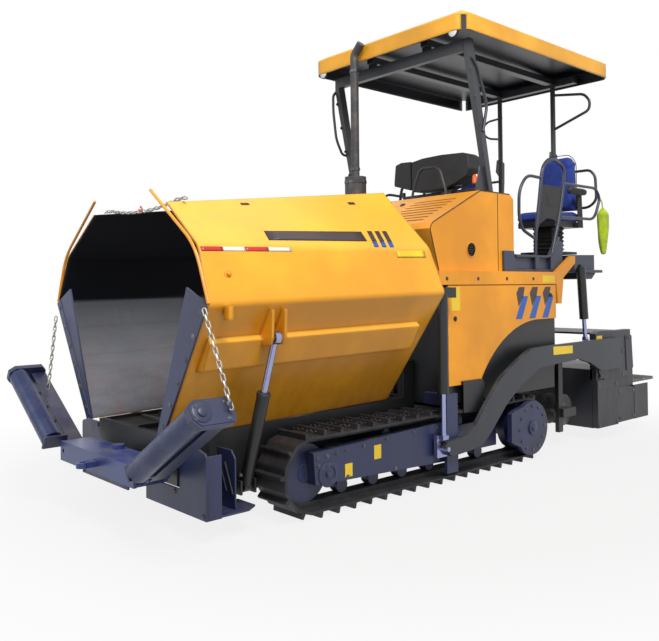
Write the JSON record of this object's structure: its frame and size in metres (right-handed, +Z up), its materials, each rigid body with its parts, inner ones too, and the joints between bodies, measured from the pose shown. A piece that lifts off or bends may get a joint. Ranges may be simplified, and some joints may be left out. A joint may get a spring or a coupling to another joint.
{
  "type": "asphalt paver",
  "caption": "Tracked asphalt paver with folded hopper wings, push rollers, conveyors, augers, tow arms, vibrating screed and a roofed operator deck.",
  "frame": {"origin": "under the middle of the whole machine, on the ground", "axes": "+X forward to the hopper, +Y to the machine's left, +Z up"},
  "size_m": [6.1299, 2.7408, 3.79],
  "materials": {
    "yellow_paint": "gloss",
    "dark_paint": "satin",
    "black_paint": "satin",
    "grey_paint": "satin",
    "navy_paint": "satin",
    "track_steel": "worn",
    "worn_steel": "worn",
    "chrome_rod": "polished",
    "black_plastic": "matte",
    "seat_fabric": "woven",
    "lamp_glass": "clear",
    "cast_engine": "painted"
  },
  "bodies": {
    "root": {"chassis": "black_paint", "guard_plates": "navy_paint", "conveyor": "worn_steel", "engine_block": "cast_engine", "body": "yellow_paint", "bulkheads": "black_paint", "hood": "yellow_paint", "platform": "black_paint", "seats": "seat_fabric", "seat_bases": "black_plastic", "console": "black_plastic", "rails": "grey_paint", "canopy": "yellow_paint", "canopy_frame": "grey_paint", "lamps": "lamp_glass", "exhaust": "black_paint", "cylinder_feet": "black_paint", "tow_guides": "navy_paint", "levelling_barrels": "black_paint", "auger_frame": "black_paint", "track_left": "track_steel", "track_right": "track_steel", "track_frame_left": "navy_paint", "track_frame_right": "navy_paint"},
    "push_beam": {"push_beam": "navy_paint"},
    "tow_points": {"tow_slides": "chrome_rod"},
    "screed": {"tow_arms": "dark_paint", "screed": "dark_paint", "walkway": "worn_steel"},
    "wing_left": {"wing_left": "yellow_paint", "wing_strip_left": "navy_paint"},
    "wing_barrel_left": {"wing_barrel_left": "black_paint"},
    "wing_rod_left": {"wing_rod_left": "chrome_rod"},
    "roller_arm_left": {"roller_arm_left": "navy_paint"},
    "push_roller_left": {"push_roller_left": "navy_paint"},
    "door_left": {"door_left": "yellow_paint"},
    "lift_barrel_left": {"lift_barrel_left": "black_paint"},
    "lift_rod_left": {"lift_rod_left": "chrome_rod"},
    "extension_left": {"extension_left": "dark_paint"},
    "auger_left": {"auger_left": "worn_steel"},
    "wing_right": {"wing_right": "yellow_paint", "wing_strip_right": "navy_paint"},
    "wing_barrel_right": {"wing_barrel_right": "black_paint"},
    "wing_rod_right": {"wing_rod_right": "chrome_rod"},
    "roller_arm_right": {"roller_arm_right": "navy_paint"},
    "push_roller_right": {"push_roller_right": "navy_paint"},
    "door_right": {"door_right": "yellow_paint"},
    "lift_barrel_right": {"lift_barrel_right": "black_paint"},
    "lift_rod_right": {"lift_rod_right": "chrome_rod"},
    "extension_right": {"extension_right": "dark_paint"},
    "auger_right": {"auger_right": "worn_steel"}
  },
  "joints": [
    {"name": "push_beam_swing", "type": "hinge", "parent": "root", "child": "push_beam", "pos_m": [2.775, 0, 0.4], "axis": [0, 0, 1], "range_deg": [-5, 5]},
    {"name": "tow_point_lift", "type": "slide", "parent": "root", "child": "tow_points", "axis": [0, 0, 1], "range_m": [-0.05, 0.18]},
    {"name": "screed_lift", "type": "hinge", "parent": "tow_points", "child": "screed", "pos_m": [0.56, 0, 0.284], "axis": [0, 1, 0], "range_deg": [-2.5, 4]},
    {"name": "wing_left_lower", "type": "hinge", "parent": "root", "child": "wing_left", "pos_m": [1.704, 0.53, 0.6295], "axis": [-0.9998, 0, 0.0213], "range_deg": [0, 44]},
    {"name": "wing_left_barrel_turn", "type": "hinge", "parent": "root", "child": "wing_barrel_left", "pos_m": [2.235, 0.68, 0.255], "axis": [-1, 0, 0], "range_deg": [0, 33.45]},
    {"name": "wing_left_rod_slide", "type": "slide", "parent": "wing_barrel_left", "child": "wing_rod_left", "axis": [0, 0.323, 0.9464], "range_m": [-0.24445, 0]},
    {"name": "roller_arm_left_fold", "type": "hinge", "parent": "push_beam", "child": "roller_arm_left", "pos_m": [2.815, 0.575, 0.405], "axis": [-1, 0, 0], "range_deg": [0, 31.5]},
    {"name": "push_roller_left_spin", "type": "hinge", "parent": "roller_arm_left", "child": "push_roller_left", "pos_m": [2.965, 0.96312, 0.6616], "axis": [0, 0.8526, 0.5225], "continuous": true},
    {"name": "door_left_open", "type": "hinge", "parent": "root", "child": "door_left", "pos_m": [0.425, 0.881, 1.1], "axis": [0, 0, -1], "range_deg": [0, 90]},
    {"name": "lift_barrel_left_turn", "type": "hinge", "parent": "root", "child": "lift_barrel_left", "pos_m": [-1.565, 0.895, 1.7], "axis": [0, 1, 0], "range_deg": [-3.43, 2.15]},
    {"name": "lift_rod_left_slide", "type": "slide", "parent": "lift_barrel_left", "child": "lift_rod_left", "axis": [-0.0938, 0, -0.9956], "range_m": [-0.15505, 0.0969]},
    {"name": "extension_left_slide", "type": "slide", "parent": "screed", "child": "extension_left", "axis": [0, 1, 0], "range_m": [0, 0.6]},
    {"name": "auger_left_spin", "type": "hinge", "parent": "root", "child": "auger_left", "pos_m": [-1.465, 0.45, 0.33], "axis": [0, 1, 0], "continuous": true},
    {"name": "wing_right_lower", "type": "hinge", "parent": "root", "child": "wing_right", "pos_m": [1.704, -0.53, 0.6295], "axis": [0.9998, 0, -0.0213], "range_deg": [0, 44]},
    {"name": "wing_right_barrel_turn", "type": "hinge", "parent": "root", "child": "wing_barrel_right", "pos_m": [2.235, -0.68, 0.255], "axis": [1, 0, 0], "range_deg": [0, 33.45]},
    {"name": "wing_right_rod_slide", "type": "slide", "parent": "wing_barrel_right", "child": "wing_rod_right", "axis": [0, -0.323, 0.9464], "range_m": [-0.24445, 0]},
    {"name": "roller_arm_right_fold", "type": "hinge", "parent": "push_beam", "child": "roller_arm_right", "pos_m": [2.815, -0.575, 0.405], "axis": [1, 0, 0], "range_deg": [0, 31.5]},
    {"name": "push_roller_right_spin", "type": "hinge", "parent": "roller_arm_right", "child": "push_roller_right", "pos_m": [2.965, -0.96312, 0.6616], "axis": [0, -0.8526, 0.5225], "continuous": true},
    {"name": "door_right_open", "type": "hinge", "parent": "root", "child": "door_right", "pos_m": [0.425, -0.881, 1.1], "axis": [0, 0, 1], "range_deg": [0, 90]},
    {"name": "lift_barrel_right_turn", "type": "hinge", "parent": "root", "child": "lift_barrel_right", "pos_m": [-1.565, -0.895, 1.7], "axis": [0, 1, 0], "range_deg": [-3.43, 2.15]},
    {"name": "lift_rod_right_slide", "type": "slide", "parent": "lift_barrel_right", "child": "lift_rod_right", "axis": [-0.0938, 0, -0.9956], "range_m": [-0.15505, 0.0969]},
    {"name": "extension_right_slide", "type": "slide", "parent": "screed", "child": "extension_right", "axis": [0, -1, 0], "range_m": [0, 0.6]},
    {"name": "auger_right_spin", "type": "hinge", "parent": "root", "child": "auger_right", "pos_m": [-1.465, -0.45, 0.33], "axis": [0, 1, 0], "continuous": true}
  ],
  "couplings": [
    {"joint": "wing_left_barrel_turn", "follows": "wing_left_lower", "ratio": 0.75958},
    {"joint": "wing_left_rod_slide", "follows": "wing_left_lower", "m_per_rad": -0.31768},
    {"joint": "lift_barrel_left_turn", "follows": "screed_lift", "ratio": -0.8566},
    {"joint": "lift_rod_left_slide", "follows": "screed_lift", "m_per_rad": -2.2165},
    {"joint": "wing_right_barrel_turn", "follows": "wing_right_lower", "ratio": 0.75958},
    {"joint": "wing_right_rod_slide", "follows": "wing_right_lower", "m_per_rad": -0.31768},
    {"joint": "lift_barrel_right_turn", "follows": "screed_lift", "ratio": -0.8566},
    {"joint": "lift_rod_right_slide", "follows": "screed_lift", "m_per_rad": -2.2165}
  ]
}
